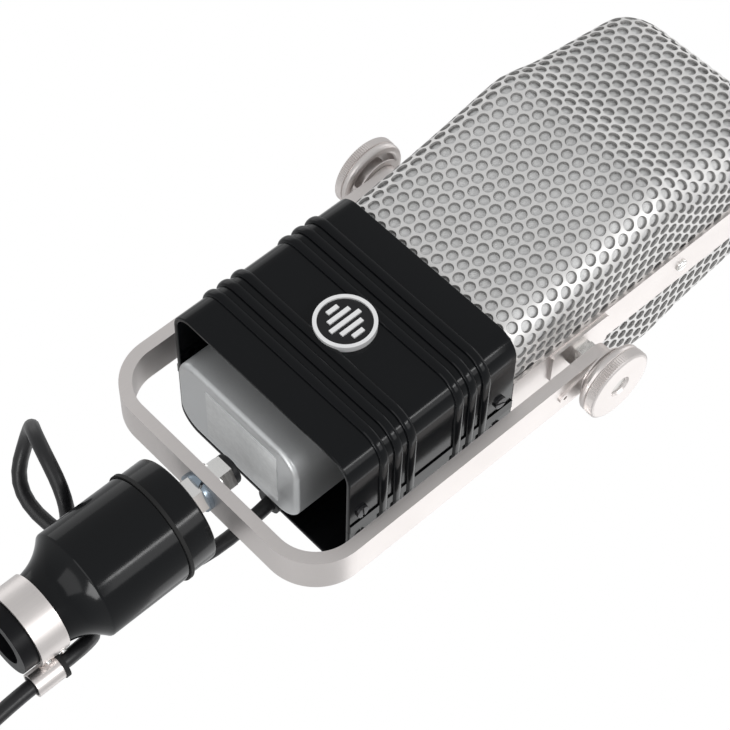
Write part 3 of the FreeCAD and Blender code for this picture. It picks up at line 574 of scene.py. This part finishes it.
def thicken(points, faces, marks):
    """Give the sheet its thickness inward; the collars slope in, and their faces and the hole walls are
    marked 1, which later take the dark painted shade round each hole.
    """
    mesh = bpy.data.meshes.new("sheet_side")
    mesh.from_pydata(points.tolist(), [], faces)
    mesh.update()
    normals = np.array([v.normal[:] for v in mesh.vertices])
    centre = np.array((0.0, 0.0, 235.0))
    if np.mean(np.sum(normals * (points - centre), axis=1)) < 0:
        normals = -normals
        faces = [face[::-1] for face in faces]
    bpy.data.meshes.remove(mesh)
    count = len(points)
    inner = points - normals * SHEET
    on_web = np.zeros(count, bool)
    for face, mark in zip(faces, marks):
        if not mark:
            on_web[face] = True
    points = points - normals * np.where(on_web, 0.0, COLLAR_DEPTH)[:, None]
    used = {}
    for face in faces:
        for a, b in zip(face, face[1:] + face[:1]):
            used[(a, b)] = used.get((a, b), 0) + 1
    walls = [(b, a, a + count, b + count) for a, b in used if (b, a) not in used]
    every = [tuple(f) for f in faces] + [tuple(i + count for i in f[::-1]) for f in faces] + walls
    return np.concatenate([points, inner]), every, marks + [0] * len(faces) + [1] * len(walls)


def grille_half():
    """One perforated half, facing -Y: its wall over the shoulder, and its top."""
    centres = []
    for row in range(int(RISE[-1] / ROW) + 2):
        v = 1.6 + row * ROW
        for column in range(-22, 23):
            u = (column + 0.5 * (row % 2)) * PITCH
            spot = wall_point(np.array(u), np.array(v))
            if spot[1] < -2.0 and v < RISE[-1]:
                centres.append((u, v))
    flat_points, faces = lattice(np.array(centres))
    points = wall_point(flat_points[:, 0], flat_points[:, 1])
    wall = clipped(points, faces, (0, 0, 1))
    centres = []
    for row in range(-1, 9):
        y = -2.9 - row * ROW
        for column in range(-9, 10):
            x = (column + 0.5 * (row % 2)) * PITCH
            if abs(x) < HALF_X and y > -32:
                centres.append((x, y))
    flat_points, faces = lattice(np.array(centres))
    level = top_level(flat_points[:, 0], flat_points[:, 1])
    points = np.column_stack([flat_points, level])
    top = clipped(points, faces, (0, 0, -1))
    parts = [thicken(np.array(p), [list(map(int, f)) for f in q], m) for p, q, m in (wall, top)]
    shift = len(parts[0][0])
    verts = np.concatenate([parts[0][0], parts[1][0]]) * MM
    quads = parts[0][1] + [tuple(i + shift for i in f) for f in parts[1][1]]
    return verts, quads, parts[0][2] + parts[1][2]


grille_verts, grille_faces, grille_shade_marks = grille_half()
grille_front = new_object("grille_front_sheet", grille_verts, grille_faces, smooth_angle=42)
mirrored = grille_verts * np.array((1, -1, 1))
grille_rear = new_object("grille_rear_sheet", mirrored, [f[::-1] for f in grille_faces], smooth_angle=42)
for obj, node in ((grille_front, "grille_front"), (grille_rear, "grille_rear")):
    settle(obj, "grille_metal", node, "head")
    # the faces marked 1 (collars and hole walls) take the dark painted-shade material
    obj.data.materials.append(GRILLE_HOLE_SHADE)
    obj.data.polygons.foreach_set("material_index", grille_shade_marks)

# ------------------------------------------------------------------ stage and light
world = bpy.data.worlds.new("studio")
world.use_nodes = True
scene.world = world
back = world.node_tree.nodes["Background"]
back.inputs["Color"].default_value = (0.62, 0.625, 0.63, 1)
back.inputs["Strength"].default_value = 1.0
seen = world.node_tree.nodes.new("ShaderNodeBackground")
seen.inputs["Color"].default_value = (1.0, 1.0, 1.0, 1)
seen.inputs["Strength"].default_value = 1.0
path = world.node_tree.nodes.new("ShaderNodeLightPath")
mix = world.node_tree.nodes.new("ShaderNodeMixShader")
links = world.node_tree.links
links.new(path.outputs["Is Camera Ray"], mix.inputs["Fac"])
links.new(back.outputs["Background"], mix.inputs[1])
links.new(seen.outputs["Background"], mix.inputs[2])
links.new(mix.outputs["Shader"], world.node_tree.nodes["World Output"].inputs["Surface"])
scene.view_settings.view_transform = "Standard"


def softbox(name, at, aim, width, height, power, colour=(1, 1, 1)):
    lamp = bpy.data.lights.new(name, "AREA")
    lamp.shape = "RECTANGLE"
    lamp.size, lamp.size_y = width, height
    lamp.energy = power
    lamp.color = colour
    obj = bpy.data.objects.new(name, lamp)
    scene.collection.objects.link(obj)
    obj.location = at
    obj.rotation_euler = (Vector(aim) - Vector(at)).to_track_quat("-Z", "Y").to_euler()
    return obj


AIM = (0, 0, 0.19)
softbox("box_key", (1.17, -0.85, 0.44), (0, 0, 0.05), 0.12, 1.1, 5.4)
softbox("box_key_soft", (1.325, -0.587, 0.44), (0, 0, 0.05), 0.50, 1.1, 3.4)
softbox("box_right", (0.75, 1.55, 0.95), AIM, 1.2, 1.2, 4.2)
softbox("box_top", (0.1, -0.2, 1.6), AIM, 1.2, 1.2, 5)
softbox("box_left", (-1.4, -0.2, 0.6), AIM, 0.8, 1.3, 2.2)
softbox("box_low", (0.2, -0.9, -1.1), AIM, 1.2, 0.9, 5)
softbox("box_under", (0.33, -0.03, -0.83), (0, 0, 0.02), 0.3, 0.3, 2.4)

FLOOR = -1.3
floor_mesh = bpy.data.meshes.new("floor")
floor_mesh.from_pydata([(-3, -3, FLOOR), (3, -3, FLOOR), (3, 3, FLOOR), (-3, 3, FLOOR)], [], [(0, 1, 2, 3)])
floor = bpy.data.objects.new("floor", floor_mesh)
scene.collection.objects.link(floor)
floor.data.materials.append(
    make_material("pale_floor", (0.86, 0.86, 0.86), 0.0, 0.7, fine=60, broad=4, spread=0.02, bump=0.02)
)
